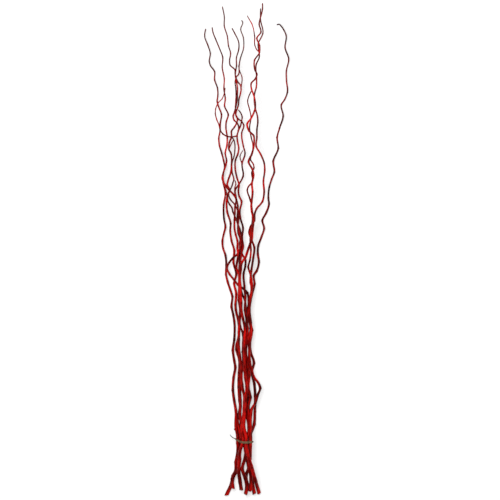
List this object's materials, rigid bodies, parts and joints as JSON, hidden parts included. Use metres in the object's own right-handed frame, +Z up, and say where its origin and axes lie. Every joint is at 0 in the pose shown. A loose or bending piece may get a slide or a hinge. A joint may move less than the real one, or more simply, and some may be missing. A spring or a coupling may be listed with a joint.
{
  "type": "bundle of dried mulberry twigs",
  "caption": "Long bundle of zigzag dried twigs dyed deep red, tied near the cut ends and fanned out at the tips, lying on its side.",
  "frame": {"origin": "under the middle of the bundle's box, on the surface it lies on", "axes": "+Y from the cut ends to the tips, +Z up, +X across the bundle"},
  "size_m": [0.2602, 1.5014, 0.1362],
  "materials": {
    "bark": "dyed dry bark with a soft gloss",
    "tie": "dry twisted fibre"
  },
  "bodies": {
    "root": {"twig_1": "bark", "twig_2": "bark", "twig_3": "bark", "twig_4": "bark", "twig_5": "bark", "twig_6": "bark", "twig_7": "bark", "twig_8": "bark", "twig_9": "bark", "twig_10": "bark", "twig_11": "bark", "tie": "tie"}
  },
  "joints": []
}
